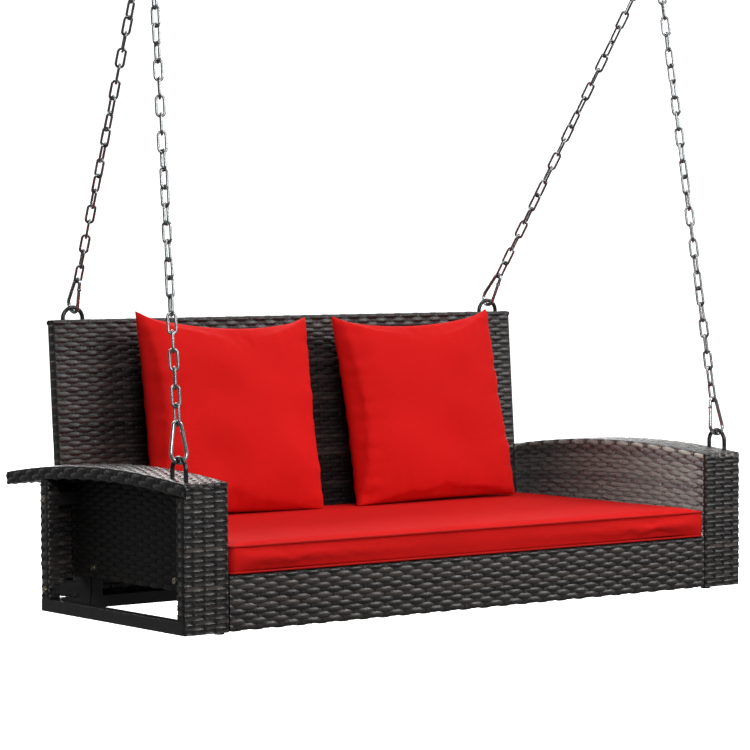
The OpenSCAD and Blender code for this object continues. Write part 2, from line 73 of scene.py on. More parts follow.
SEAT_W, ARM_W, BASE_D = 1270.0, 91.0, 473.0
IN_X, OUT_X = SEAT_W / 2 - ARM_W, SEAT_W / 2
ARM_L, FRONT_H, REAR_H, RISE = 596.0, 256.0, 245.0, 19.5
BAND, TUBE, DECK = 26.0, 22.0, 97.0
BACK_Y, LEAN, BACK_LOW, BACK_TOP, BACK_X = 544.5, math.radians(4.04), 12.0, 521.0, 540.0
CHORD = math.hypot(ARM_L, FRONT_H - REAR_H)
ARC_R = CHORD**2 / 8 / RISE + RISE / 2
ARC_DIR = math.atan2(FRONT_H - REAR_H, ARM_L)
ARC_Y = ARM_L / 2 - (ARC_R - RISE) * math.sin(ARC_DIR)
ARC_Z = (FRONT_H + REAR_H) / 2 - (ARC_R - RISE) * math.cos(ARC_DIR)


def arm_top(y):
    return ARC_Z + np.sqrt(ARC_R**2 - (y - ARC_Y) ** 2)


def back_point(p0, p1):
    c, s = math.cos(LEAN), math.sin(LEAN)
    return BACK_Y + p0 * c + p1 * s, -p0 * s + p1 * c


# ---------------------------------------------------------------- materials
class Nodes:
    """A small builder for one material's node tree."""

    def __init__(self, name):
        self.mat = bpy.data.materials.new(name)
        self.mat.use_nodes = True
        self.tree = self.mat.node_tree
        self.bsdf = self.tree.nodes["Principled BSDF"]

    def add(self, kind, links=None, **props):
        n = self.tree.nodes.new("ShaderNode" + kind)
        for k, v in props.items():
            setattr(n, k, v)
        for k, v in (links or {}).items():
            if isinstance(v, bpy.types.NodeSocket):
                self.tree.links.new(v, n.inputs[k])
            else:
                n.inputs[k].default_value = v
        return n

    def math(self, op, a, b=0.0, c=0.0):
        return self.add("Math", {0: a, 1: b, 2: c}, operation=op).outputs[0]

    def scale(self, v, xyz):
        return self.add("VectorMath", {0: v, 1: xyz}, operation="MULTIPLY").outputs[0]

    def noise(self, v, scale, detail=3.0, rough=0.5, out="Fac"):
        n = self.add("TexNoise", {"Vector": v, "Scale": scale, "Detail": detail, "Roughness": rough})
        return n.outputs[out]

    def remap(self, v, a, b, c, d):
        return self.add("MapRange", {0: v, 1: a, 2: b, 3: c, 4: d}).outputs[0]

    def ramp(self, fac, stops):
        r = self.add("ValToRGB", {0: fac})
        els = r.color_ramp.elements
        while len(els) < len(stops):
            els.new(0.5)
        for e, (at, col) in zip(els, stops):
            e.position, e.color = at, (*col, 1)
        return r.outputs[0]

    def bump(self, height, distance, strength=1.0, normal=None):
        links = {"Height": height, "Distance": distance, "Strength": strength}
        if normal is not None:
            links["Normal"] = normal
        return self.add("Bump", links).outputs[0]

    def place(self):
        return self.add("TexCoord").outputs["Object"]

    def set(self, **inputs):
        names = {"color": "Base Color", "rough": "Roughness", "metal": "Metallic", "normal": "Normal",
                 "ior": "IOR", "spec": "Specular IOR Level", "sheen": "Sheen Weight",
                 "sheen_rough": "Sheen Roughness", "sheen_tint": "Sheen Tint",
                 "coat": "Coat Weight", "coat_rough": "Coat Roughness"}
        for k, v in inputs.items():
            sock = self.bsdf.inputs[names[k]]
            if isinstance(v, bpy.types.NodeSocket):
                self.tree.links.new(v, sock)
            else:
                sock.default_value = v
        return self.mat


def wicker(name, dark, mid, light, rough=0.24):
    """Flat resin strand: its own tone, painted shade towards its edges, fine ribs along it and a satin shine.
    """
    n = Nodes(name)
    strand = n.add("Attribute", attribute_name="strand").outputs["Vector"]
    part = n.add("SeparateXYZ", {0: strand}).outputs
    across, tone = part[1], part[2]
    streak = n.noise(n.scale(strand, (45, 2.6, 90)), 1.0, 4, 0.6)
    mixed = n.math("ADD", n.math("MULTIPLY", tone, 0.62), n.math("MULTIPLY", streak, 0.5))
    colour = n.ramp(mixed, [(0.22, dark), (0.55, mid), (0.95, light)])
    # Strands and stakes darken towards their edges: painted shade for the gaps between rows, which brings out
    # each float's lens shape.
    edge = n.remap(n.math("ABSOLUTE", across), 0.45, 1.0, 1.0, 0.22)
    shade = n.add("CombineColor", {0: edge, 1: edge, 2: edge}).outputs[0]
    colour = n.add("Mix", {0: 1.0, 6: colour, 7: shade}, data_type="RGBA", blend_type="MULTIPLY").outputs[2]
    ribs = n.math("SINE", n.math("MULTIPLY", across, 21.0))
    grain = n.noise(n.scale(strand, (260, 9, 40)), 1.0, 3, 0.6)
    height = n.math("ADD", n.math("MULTIPLY", ribs, 0.5), grain)
    rough = n.remap(n.noise(n.scale(strand, (120, 3, 70)), 1.0, 2), 0.3, 0.7, rough, rough + 0.14)
    return n.set(color=colour, rough=rough, normal=n.bump(height, 0.00012, 0.8), ior=1.5)


def paint(name, colour, rough, peel=0.35, bevel=0.0015):
    """Powder-coated or dipped steel: fine orange peel, softened edges, faint scuffs."""
    n = Nodes(name)
    at = n.place()
    scuff = n.noise(at, 24, 6, 0.65)
    tint = n.ramp(scuff, [(0.35, colour), (0.8, tuple(c * 1.9 + 0.004 for c in colour))])
    soft = n.add("Bevel", {"Radius": bevel}, samples=4).outputs[0]
    return n.set(color=tint, rough=n.remap(n.noise(at, 90, 4, 0.6), 0.3, 0.75, rough - 0.07, rough + 0.12),
                 normal=n.bump(n.noise(at, 1400, 2), 0.0001, peel, soft), ior=1.5)


def zinc(name, tone, rough, streaks=1.0, tint=(1.0, 1.0, 1.0)):
    """Galvanised steel: crystalline patches, duller patches at random, small scratches."""
    n = Nodes(name)
    at = n.place()
    flakes = n.add("TexVoronoi", {"Vector": at, "Scale": 420.0}).outputs["Color"]
    flake = n.add("SeparateColor", {0: flakes}).outputs[0]
    cloud = n.noise(at, 55, 5, 0.6)
    mixed = n.math("ADD", n.math("MULTIPLY", flake, 0.25), n.math("MULTIPLY", cloud, 0.85))
    lo, hi = [tuple(tone * k * t for t in tint) for k in (0.62, 1.12)]
    colour = n.ramp(mixed, [(0.25, lo), (0.75, hi)])
    r = n.remap(mixed, 0.2, 0.9, rough + 0.14, rough - 0.08)
    height = n.math("ADD", n.noise(at, 600, 4, 0.7), n.math("MULTIPLY", flake, 0.4))
    return n.set(color=colour, rough=r, metal=1.0, normal=n.bump(height, 0.00012, 0.5 * streaks))


def cloth(name, colour, deep):
    """Woven polyester canvas: crossed threads, slight shade changes and a soft sheen."""
    n = Nodes(name)
    at = n.place()
    threads = None
    for axis in "XYZ":
        w = n.add("TexWave", {"Vector": at, "Scale": 190.0, "Distortion": 0.6, "Detail": 1.0,
                              "Detail Scale": 3.0}, wave_type="BANDS", bands_direction=axis).outputs["Fac"]
        threads = w if threads is None else n.math("ADD", threads, w)
    slub = n.noise(n.scale(at, (1, 7, 7)), 60, 3, 0.6)
    shade = n.noise(at, 7, 4, 0.55)
    fac = n.math("ADD", n.math("MULTIPLY", shade, 0.6), n.math("MULTIPLY", slub, 0.4))
    col = n.ramp(fac, [(0.3, deep), (0.7, colour)])
    height = n.math("ADD", n.math("MULTIPLY", threads, 0.35), n.math("MULTIPLY", slub, 0.35))
    creases = n.bump(n.noise(at, 16, 3, 0.5), 0.0022, 0.35)
    return n.set(color=col, rough=0.82, normal=n.bump(height, 0.0004, 0.55, creases), spec=0.12,
                 sheen=0.03, sheen_rough=0.4, sheen_tint=(*[min(1, c * 1.25 + 0.12) for c in colour], 1))


WICKER = wicker("wicker_brown", (0.008, 0.0075, 0.0078), (0.025, 0.0205, 0.019), (0.09, 0.071, 0.06))
FRAME = paint("frame_black", (0.014, 0.013, 0.013), 0.42)
LOOP = paint("loop_black", (0.010, 0.010, 0.011), 0.26, 0.2, 0.0004)
# A darker copy of the wicker for the skin facing the arm's hollow: painted shade for the hollow under the
# armrest.
SHADED_LINING = wicker("wicker_lining", (0.005, 0.0045, 0.004), (0.012, 0.010, 0.009), (0.03, 0.022, 0.018), 0.5)
PLASTIC = paint("black_plastic", (0.012, 0.012, 0.012), 0.55, 0.5, 0.0008)
# The chain's zinc is set well below real zinc's tone (about 0.6): painted shade for the dark reflections on
# its links.
CHAIN = zinc("zinc_chain", 0.3, 0.26, 1.0, (0.93, 0.98, 1.0))
HOOKS = zinc("zinc_hook", 0.46, 0.2, 0.6, (0.95, 0.98, 1.0))
BOLTS = zinc("zinc_bolt", 0.66, 0.3, 0.7, (1.0, 0.93, 0.72))
RED = cloth("red_fabric", (0.63, 0.007, 0.006), (0.55, 0.005, 0.004))
PIPING = cloth("red_piping", (0.5, 0.009, 0.007), (0.4, 0.007, 0.005))


# ---------------------------------------------------------------- mesh helpers
def surface(name, grids, mat, body, stands_for=()):
    """One mesh from a list of (points[k, n, m, 3] in mm, strand data[k, n, m, 3]) grids."""
    pts, strand, quads, base = [], [], [], 0
    for p, s in grids:
        k, n, m = p.shape[:3]
        idx = np.arange(k * n * m).reshape(k, n, m) + base
        q = np.stack([idx[:, :-1, :-1], idx[:, :-1, 1:], idx[:, 1:, 1:], idx[:, 1:, :-1]], -1)
        quads.append(q.reshape(-1, 4))
        pts.append(p.reshape(-1, 3))
        strand.append(s.reshape(-1, 3))
        base += k * n * m
    pts, strand, quads = np.concatenate(pts), np.concatenate(strand), np.concatenate(quads)
    me = bpy.data.meshes.new(name)
    me.vertices.add(len(pts))
    me.vertices.foreach_set("co", (pts * MM).astype(np.float32).ravel())
    me.loops.add(quads.size)
    me.loops.foreach_set("vertex_index", quads.astype(np.int32).ravel())
    me.polygons.add(len(quads))
    me.polygons.foreach_set("loop_start", np.arange(0, quads.size, 4, dtype=np.int32))
    me.polygons.foreach_set("use_smooth", np.ones(len(quads), bool))
    me.update(calc_edges=True)
    a = me.attributes.new("strand", "FLOAT_VECTOR", "POINT")
    a.data.foreach_set("vector", strand.astype(np.float32).ravel())
    return settle(bpy.data.objects.new(name, me), mat, body, stands_for)


def settle(o, mat, body, stands_for=(), at=SEAT):
    if o.name not in bpy.context.scene.collection.objects:
        bpy.context.scene.collection.objects.link(o)
    o.data.materials.clear()
    o.data.materials.append(mat)
    o.matrix_world = at
    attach(o, body)
    if stands_for:
        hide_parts(*stands_for)
    return o


def rounded(points, r):
    """A 2-D path through the points with corners of radius r: arc length, place and left normal."""
    pts = [np.array(p, float) for p in points]
    out = [pts[0]]
    for a, b, c in zip(pts, pts[1:], pts[2:]):
        u, v = (a - b) / np.linalg.norm(a - b), (c - b) / np.linalg.norm(c - b)
        half = math.acos(max(-1, min(1, float(u @ v)))) / 2
        d = min(r / math.tan(half), 0.49 * np.linalg.norm(a - b), 0.49 * np.linalg.norm(c - b))
        rr = d * math.tan(half)
        mid = b + (u + v) / np.linalg.norm(u + v) * rr / math.sin(half)
        t0, t1 = b + u * d - mid, b + v * d - mid
        for k in range(7):
            w = (1 - k / 6) * t0 + k / 6 * t1
            out.append(mid + w / np.linalg.norm(w) * rr)
    out.append(pts[-1])
    out = np.array(out)
    seg = np.linalg.norm(np.diff(out, axis=0), axis=1)
    keep = np.r_[True, seg > 1e-6]
    out = out[keep]
    seg = np.linalg.norm(np.diff(out, axis=0), axis=1)
    s = np.r_[0, np.cumsum(seg)]
    tan = np.gradient(out, s, axis=0)
    tan /= np.linalg.norm(tan, axis=1)[:, None]
    return s, out, np.stack([-tan[:, 1], tan[:, 0]], 1)


def along(path, s):
    ss, p, n = path
    at = np.stack([np.interp(s, ss, p[:, i]) for i in (0, 1)], -1)
    nn = np.stack([np.interp(s, ss, n[:, i]) for i in (0, 1)], -1)
    return at, nn / np.linalg.norm(nn, axis=-1, keepdims=True)


# Strand pitch, stake spacing, how deep the weave's middle lies, and half a stake's width
PITCH, STAKE = 8.3, 22.5
INSET, STAKE_HALF = 1.3, 1.7


def woven(surf, v0, v1, u_range, seed, pitch=PITCH, stake=STAKE, amp=0.95, phase=0.0, relief=lambda v: 1.0):
    """Plain weave on a surface: flat strands along u in rows from v0 to v1, over stakes along v.

    surf(u, v) gives points and outward normals; u_range(v) the ends of each row, and
    relief(v) how proud it stands."""
    rows = max(1, round((v1 - v0) / pitch))
    step = (v1 - v0) / rows
    rng = np.random.default_rng(seed)
    v = v0 + (np.arange(rows) + 0.5) * step
    ua, ub = np.array([u_range(x) for x in v]).T
    longest = float(np.max(ub - ua))
    n = max(4, round(longest / stake * 8)) + 1
    t = np.linspace(0, 1, n)
    u = ua[:, None] + (ub - ua)[:, None] * t
    over = np.sin(np.pi * (u - phase) / stake + np.pi * np.arange(rows)[:, None])
    tone = np.repeat(rng.beta(2.0, 3.2, rows)[:, None], n, 1)
    drift = 0.09 * rng.standard_normal(rows)[:, None]
    # long floats in front of the stakes, and short dips behind every other one
    dip = ((1 - over) / 2) ** 1.7
    deep = np.array([relief(x) for x in v])[:, None]
    side = np.array([-1, -0.6, 0, 0.6, 1])
    half = step * (0.57 + 0.05 * over + 0.01 * rng.standard_normal((rows, 1)))
    cup = (1.75 - 1.0 * dip) * deep
    uu = np.repeat(u[:, :, None], len(side), 2)
    vv = v[:, None, None] + drift[:, :, None] + half[:, :, None] * side
    p, nrm = surf(uu, vv)
    lift = (amp * deep * (1 - 2 * dip))[:, :, None] + cup[:, :, None] * (1 - side**2) - INSET
    p = p + nrm * lift[..., None]
    data = np.stack([uu * MM, np.broadcast_to(side, uu.shape), np.repeat(tone[:, :, None], len(side), 2)], -1)
    grids = [(p, data)]
    lo, hi = float(ua.min()), float(ub.max())
    order = np.arange(math.ceil((lo - phase) / stake - 0.5), math.floor((hi - phase) / stake - 0.5) + 1)
    us = phase + (order + 0.5) * stake
    order, us = order[(us > lo + 1) & (us < hi - 1)], us[(us > lo + 1) & (us < hi - 1)]
    if len(us):
        m = 2 * rows + 1
        sv = np.linspace(v0, v1, m)
        sign = np.where(order % 2 == 0, 1.0, -1.0)
        back = -sign[:, None] * np.cos(np.pi * ((sv - v0) / step - 0.5))[None, :] * 0.6 * amp
        w = np.array([-1, 0, 1.0])
        su = us[:, None, None] + STAKE_HALF * w + np.zeros((len(us), m, 3))
        svv = np.broadcast_to(sv[None, :, None], su.shape)
        sp, sn = surf(su, svv)
        sp = sp + sn * (back[:, :, None] + 0.4 * (1 - w**2) - 0.55)[..., None]
        shade = np.broadcast_to(rng.beta(2, 4, len(us))[:, None, None], su.shape)
        run = svv * MM + 3.1 * us[:, None, None] * MM
        st = np.stack([run, np.broadcast_to(w * 0.7, su.shape), shade], -1)
        grids.append((sp, st))
    return grids


def mirrored(grids, side):
    """The grids as drawn for the +X side, or their mirror image for the left."""
    if side == "right":
        return grids
    return [((p * [-1, 1, 1])[:, ::-1], s[:, ::-1]) for p, s in grids]


# ---------------------------------------------------------------- the woven skins
def back_skin():
    x, y0, y1, r = BACK_X - 1.4, 1.4, BAND - 1.4, 3.0
    path = rounded([(0, y0), (x, y0), (x, y1), (-x, y1), (-x, y0), (0, y0)], r)
    length = path[0][-1]
    stake = length / (2 * round(length / STAKE / 2))

    def surf(u, v):
        at, n = along(path, u % length)
        n = -n
        y, z = back_point(at[..., 1], v)
        c, s = math.cos(LEAN), math.sin(LEAN)
        return np.stack([at[..., 0], y, z], -1), np.stack([n[..., 0], n[..., 1] * c, -n[..., 1] * s], -1)

    grids = woven(surf, BACK_LOW + 1, BACK_TOP - 2, lambda v: (0, length), 11, stake=stake)
    cap = rounded([(y0 - 0.9, BACK_TOP - 9), (y0 - 0.9, BACK_TOP - 1.3), (y1 + 0.9, BACK_TOP - 1.3),
                   (y1 + 0.9, BACK_TOP - 9)], 4.0)

    def over(u, v):
        at, n = along(cap, v)
        y, z = back_point(at[..., 0], at[..., 1])
        c, s = math.cos(LEAN), math.sin(LEAN)
        ny, nz = n[..., 0] * c + n[..., 1] * s, -n[..., 0] * s + n[..., 1] * c
        return np.stack([u, y, z], -1), np.stack([np.zeros_like(u), ny, nz], -1)

    grids += woven(over, 0, cap[0][-1], lambda v: (-BACK_X + 0.5, BACK_X - 0.5), 12, pitch=9.0)
    surface("back_weave_strands", grids, WICKER, "swing", ["back_weave"])


def arm_skin(side):
    """Inner side, top, outer fascia and the turned-in lower lip, as one woven sheet."""
    x0, x1, low = IN_X + 0.9, OUT_X - 1.3, 61.5
    ref = FRONT_H - 1.3
    path = rounded([(x0, low), (x0, ref), (x1, ref), (x1, ref - 24), (x1 - 24, ref - 24)], 4.0)
    top_s = ref - 4 - low
    end, r = ARM_L - 1.4, 5.0

    def surf(u, v):
        at, n = along(path, v)
        y = np.clip(u, r, end - r)
        on_side = v < top_s
        k = np.where(on_side, (at[..., 1] - low) / (ref - 4 - low), 1.0)
        rise = arm_top(y) - FRONT_H
        z = at[..., 1] + rise * k
        p = np.stack([at[..., 0], y, z], -1)
        nn = np.stack([n[..., 0], np.zeros_like(y), n[..., 1]], -1)
        # the ends turn down over the front edge and the rear end
        for sign, at_y in ((-1, r), (1, end - r)):
            past = np.clip(sign * (u - at_y), 0, None)
            flat = (n[..., 1] > 0.5) & (past > 0)
            a = np.clip(past / r, 0, math.pi / 2)
            drop = np.clip(past - r * math.pi / 2, 0, None)
            py = at_y + sign * r * np.sin(a)
            pz = z - r * (1 - np.cos(a)) - drop
            p[..., 1] = np.where(flat, py, np.where(past > 0, at_y + sign * np.minimum(past, r), p[..., 1]))
            p[..., 2] = np.where(flat, pz, p[..., 2])
            nn[..., 1] = np.where(flat, sign * np.sin(a), nn[..., 1])
            nn[..., 2] = np.where(flat, np.cos(a), nn[..., 2])
        return p, nn

    total = path[0][-1]

    def reach(v):
        at, n = along(path, np.array(v))
        if n[1] > 0.5:
            return (-6.0, end + 21.0)
        if at[0] < x0 + 3:
            return (5.5, 586.0)
        return (1.5, end) if at[1] > ref - 20 else (24.0, end)

    def flat_top(v):
        return 0.6 if top_s < v < top_s + OUT_X - IN_X else 1.0

    grids = woven(surf, 0, total, reach, 21, phase=4, relief=flat_top)

    def under(u, v):
        z = arm_top(u) - BAND + 1.2
        return np.stack([v, u, z], -1), np.stack([0 * u, 0 * u, 0 * u - 1.0], -1)

    grids += woven(under, x0 + 1, x1 - 23, lambda v: (BASE_D - 1, end - 3), 22)
    surface("arm_weave_strands_" + side, mirrored(grids, side), WICKER, "swing",
            ["armrest_weave_" + side, "arm_side_weave_" + side])


def arm_lining(side):
    """The skin that faces the arm's hollow, either side of the rear post, in a darker wicker that paints the
    hollow's shade.
    """
    x, low = IN_X + 25.4, 61.0
    height = float(arm_top(BASE_D / 2)) - BAND - 0.5 - low

    def surf(u, v):
        z = low + v / height * (arm_top(u) - BAND - 0.5 - low)
        return np.stack([0 * u + x, u, z], -1), np.stack([0 * u + 1.0, 0 * u, 0 * u], -1)

    grids = woven(surf, 0, height, lambda v: (25.5, BASE_D - 3), 24, phase=4)
    grids += woven(surf, 0, height, lambda v: (BASE_D + 1.5, 582.0), 25, phase=4)
    surface("arm_lining_strands_" + side, mirrored(grids, side), SHADED_LINING, "swing",
            ["arm_lining_weave_" + side])


def arm_front_skin(side):
    path = rounded([(OUT_X - 24, 25), (OUT_X - 1.3, 25), (OUT_X - 1.3, 1.3), (IN_X + 1.3, 1.3),
                    (IN_X + 1.3, 25)], 3.2)
    total = path[0][-1]
    z1 = FRONT_H - 3.5

    def surf(u, v):
        at, n = along(path, u)
        n = -n
        return np.stack([at[..., 0], at[..., 1], v], -1), np.stack([n[..., 0], n[..., 1], 0 * u], -1)

    def reach(v):
        return (47.0 if v < TUBE + 2 else 2.0), total - (1 if v < 60 else 19)

    grids = woven(surf, 1.0, z1 - 22, reach, 31, phase=6)
    grids += woven(surf, z1 - 22, z1, lambda v: (47.5, total - 19), 32, phase=6)
    surface("arm_front_strands_" + side, mirrored(grids, side), WICKER, "swing",
            ["arm_front_weave_" + side])


def arm_rear_skin(side):
    path = rounded([(IN_X + 25, BASE_D - 1.2), (OUT_X - 1.3, BASE_D - 1.2), (OUT_X - 1.3, BASE_D - 25),
                    (OUT_X - 25, BASE_D - 25)], 3.0)
    total = path[0][-1]
    top = float(arm_top(BASE_D)) - BAND - 1

    def surf(u, v):
        at, n = along(path, u)
        return np.stack([at[..., 0], at[..., 1], v], -1), np.stack([n[..., 0], n[..., 1], 0 * u], -1)

    grids = woven(surf, TUBE + 1, top, lambda v: (1.0 if v > 60 else 42.0, total), 41, phase=3)
    surface("arm_rear_strands_" + side, mirrored(grids, side), WICKER, "swing", ["arm_rear_weave_" + side])


def seat_skins():
    path = rounded([(26, 1.3), (1.3, 1.3), (1.3, DECK - 1.6), (12, DECK - 1.6)], 3.0)

    def apron(u, v):
        at, n = along(path, v)
        return np.stack([u, at[..., 0], at[..., 1]], -1), np.stack([0 * u, n[..., 0], n[..., 1]], -1)

    x = IN_X - 1.5
    grids = woven(apron, 0, path[0][-1], lambda v: (-x, x), 51)
    surface("apron_strands", grids, WICKER, "swing", ["apron_weave"])

    def deck(u, v):
        return np.stack([u, v, 0 * u + DECK - 1.9], -1), np.stack([0 * u, 0 * u, 0 * u + 1.0], -1)

    grids = woven(deck, 12, 546, lambda v: (-x, x), 52, amp=0.9)
    surface("deck_strands", grids, WICKER, "swing", ["seat_deck_weave"])

    def strip(u, v):
        return np.stack([u, 0 * u + BASE_D - 0.8, v], -1), np.stack([0 * u, 0 * u + 1.0, 0 * u], -1)

    grids = woven(strip, 12, 73, lambda v: (-x, x), 53, amp=0.9)
    surface("rear_apron_strands", grids, WICKER, "swing", ["rear_apron_weave"])


back_skin()
seat_skins()
for side in ("left", "right"):
    arm_skin(side)
    arm_lining(side)
    arm_front_skin(side)
    arm_rear_skin(side)


# ---------------------------------------------------------------- CAD nodes that stay
def finish_of(node):
    if "chain" in node:
        return CHAIN
    if "bolts" in node:
        return BOLTS
    if "front_loop" in node or "rear_loop" in node:
        return LOOP
    if "hook" in node or "gate" in node or "ceiling" in node:
        return HOOKS
    if node in ("rail_plugs", "foot_glides"):
        return PLASTIC
    return FRAME


for name, o in NODES.items():
    if "weave" in name or "cushion" in name:
        continue
    o.data.materials.clear()
    o.data.materials.append(finish_of(name))


# ---------------------------------------------------------------- cushions
def simulate(o, pressure, cap, frames=20, stiff=18.0, bend=0.4):
    """Blows the mesh up as cloth, and keeps each point within cap millimetres of its start."""
    start = np.zeros(len(o.data.vertices) * 3)
    o.data.vertices.foreach_get("co", start)
    start = start.reshape(-1, 3)
    c = o.modifiers.new("cloth", "CLOTH")
    s = c.settings
    s.quality, s.mass = 6, 0.25
    s.tension_stiffness = s.compression_stiffness = s.shear_stiffness = stiff
    s.bending_stiffness = bend
    s.use_pressure, s.uniform_pressure_force = True, pressure
    s.effector_weights.gravity = 0
    c.point_cache.frame_start, c.point_cache.frame_end = 1, frames
    scene = bpy.context.scene
    for f in range(1, frames + 1):
        scene.frame_set(f)
    blown = o.evaluated_get(bpy.context.evaluated_depsgraph_get())
    end = np.zeros(len(blown.data.vertices) * 3)
    blown.data.vertices.foreach_get("co", end)
    o.modifiers.remove(c)
    scene.frame_set(1)
    move = end.reshape(-1, 3) - start
    length = np.linalg.norm(move, axis=1, keepdims=True)
    move *= np.minimum(1, cap * MM / np.maximum(length, 1e-9))
    o.data.vertices.foreach_set("co", (start + move).astype(np.float32).ravel())
    o.data.update()


def grid_object(name, pts, quads):
    me = bpy.data.meshes.new(name)
    me.from_pydata([tuple(p) for p in pts * MM], [], [tuple(int(i) for i in q) for q in quads])
    me.update()
    o = bpy.data.objects.new(name, me)
    bpy.context.scene.collection.objects.link(o)
    return o


def smooth(o, levels=1):
    if levels:
        m = o.modifiers.new("sub", "SUBSURF")
        m.levels = m.render_levels = levels
    for p in o.data.polygons:
        p.use_smooth = True


def tube(name, pts, radius, mat, body, at, ring=8):
    """A closed round cord along the points, in millimetres."""
    pts = np.asarray(pts, float)
    n = len(pts)
    tan = np.roll(pts, -1, 0) - np.roll(pts, 1, 0)
    tan /= np.linalg.norm(tan, axis=1)[:, None]
    up = np.array([0, 0, 1.0]) if abs(tan[:, 2]).max() < 0.9 else np.array([0, 1.0, 0])
    a = np.cross(tan, up)
    a /= np.linalg.norm(a, axis=1)[:, None]
    b = np.cross(tan, a)
    ang = np.linspace(0, 2 * np.pi, ring, endpoint=False)
    turn = np.cos(ang)[None, :, None] * a[:, None] + np.sin(ang)[None, :, None] * b[:, None]
    p = pts[:, None] + radius * turn
    idx = np.arange(n * ring).reshape(n, ring)
    q = np.stack([idx, np.roll(idx, -1, 1), np.roll(np.roll(idx, -1, 0), -1, 1), np.roll(idx, -1, 0)], -1)
    o = grid_object(name, p.reshape(-1, 3), q.reshape(-1, 4))
    smooth(o, 0)
    return settle(o, mat, body, (), at)


# Top of the seat cushion, and a back cushion's size and half thickness
REST_Z = DECK + 53.0
PILLOW, PILLOW_HALF = (404.0, 386.0), 49.0


def pillow(name, node, middle, turn, lean, roll, size=PILLOW, seed=1):
    """Knife-edge cushion: two panels sewn round the edge and stuffed, then sat down."""
    n = 66
    rng = np.random.default_rng(seed)
    a = np.linspace(-1, 1, n + 1)
    gx, gz = np.meshgrid(a, a, indexing="ij")
    full = np.clip(1 - np.abs(gx) ** 2.8, 0, 1) ** 0.52 * np.clip(1 - np.abs(gz) ** 2.8, 0, 1) ** 0.55
    lumps = sum(rng.normal(0, 0.03) * np.cos(i * np.pi * gx + rng.uniform(0, 6))
                * np.cos(j * np.pi * gz + rng.uniform(0, 6)) for i in (1, 2, 3) for j in (1, 2, 3))
    h = PILLOW_HALF * full * (1 + lumps)
    x = size[0] / 2 * gx * (1 - 0.035 * (1 - gz**2) * np.abs(gx) ** 1.5)
    z = size[1] / 2 * gz * (1 - np.where(gz > 0, 0.11, 0.02) * (1 - gx**2) * np.abs(gz) ** 1.5)
    idx_f = np.arange((n + 1) ** 2).reshape(n + 1, n + 1)
    rim = (np.abs(gx) > 0.9999) | (np.abs(gz) > 0.9999)
    idx_b = np.where(rim, idx_f, idx_f + (n + 1) ** 2)
    panels = [np.stack([x, y, z], -1).reshape(-1, 3) for y in (-h, h * 0.95)]
    pts = np.concatenate(panels)

    def faces(i, flip):
        q = np.stack([i[:-1, :-1], i[1:, :-1], i[1:, 1:], i[:-1, 1:]], -1).reshape(-1, 4)
        return q[:, ::-1] if flip else q

    quads = np.concatenate([faces(idx_f, False), faces(idx_b, True)])
    used = np.unique(quads)
    back = np.zeros(len(pts), int)
    back[used] = np.arange(len(used))
    o = grid_object(name, pts[used], back[quads])
    simulate(o, 2.2, 8.0)
    co = np.zeros(len(o.data.vertices) * 3)
    o.data.vertices.foreach_get("co", co)
    co = co.reshape(-1, 3) / MM
    co *= [size[0] / np.ptp(co[:, 0]), min(1.0, 106.0 / np.ptp(co[:, 1])), size[1] / np.ptp(co[:, 2])]
    # gathers run in from the seams and die out over a hand's width
    grid = np.concatenate([np.stack([gx, gz], -1).reshape(-1, 2)] * 2)[used]
    for k, along_k, amp in ((0, 1, 1.5), (1, 0, 0.8)):
        for end in (-1, 1):
            d = (1 - end * grid[:, k]) * size[k] / 2
            s = grid[:, along_k] * size[along_k] / 2
            wave = sum(np.sin(s / w + rng.uniform(0, 6)) * rng.uniform(0.5, 1) for w in (4.6, 7.3, 11.0))
            co[:, 1] += amp * wave * (d / 9) * np.exp(1 - d / 16) * 0.5 * np.sign(co[:, 1])
    # it rests on the seat cushion and against the back
    turned = (Matrix.Translation(Vector(middle)) @ Matrix.Rotation(math.radians(turn), 4, "Z")
              @ Matrix.Rotation(-math.radians(lean), 4, "X") @ Matrix.Rotation(math.radians(roll), 4, "Y"))
    turned = np.array(turned)
    place = co @ turned[:3, :3].T + turned[:3, 3]
    dip = np.clip(REST_Z + 9 - place[:, 2], 0, None)
    place[:, 2] += dip - 9 * (1 - np.exp(-dip / 9))
    wall = BACK_Y + place[:, 2] * math.tan(LEAN) - 3
    push = np.clip(place[:, 1] - wall + 10, 0, None)
    place[:, 1] -= push - 10 * (1 - np.exp(-push / 10))
    o.data.vertices.foreach_set("co", (place * MM).astype(np.float32).ravel())
    o.data.update()
    smooth(o)
    settle(o, RED, node, [node])


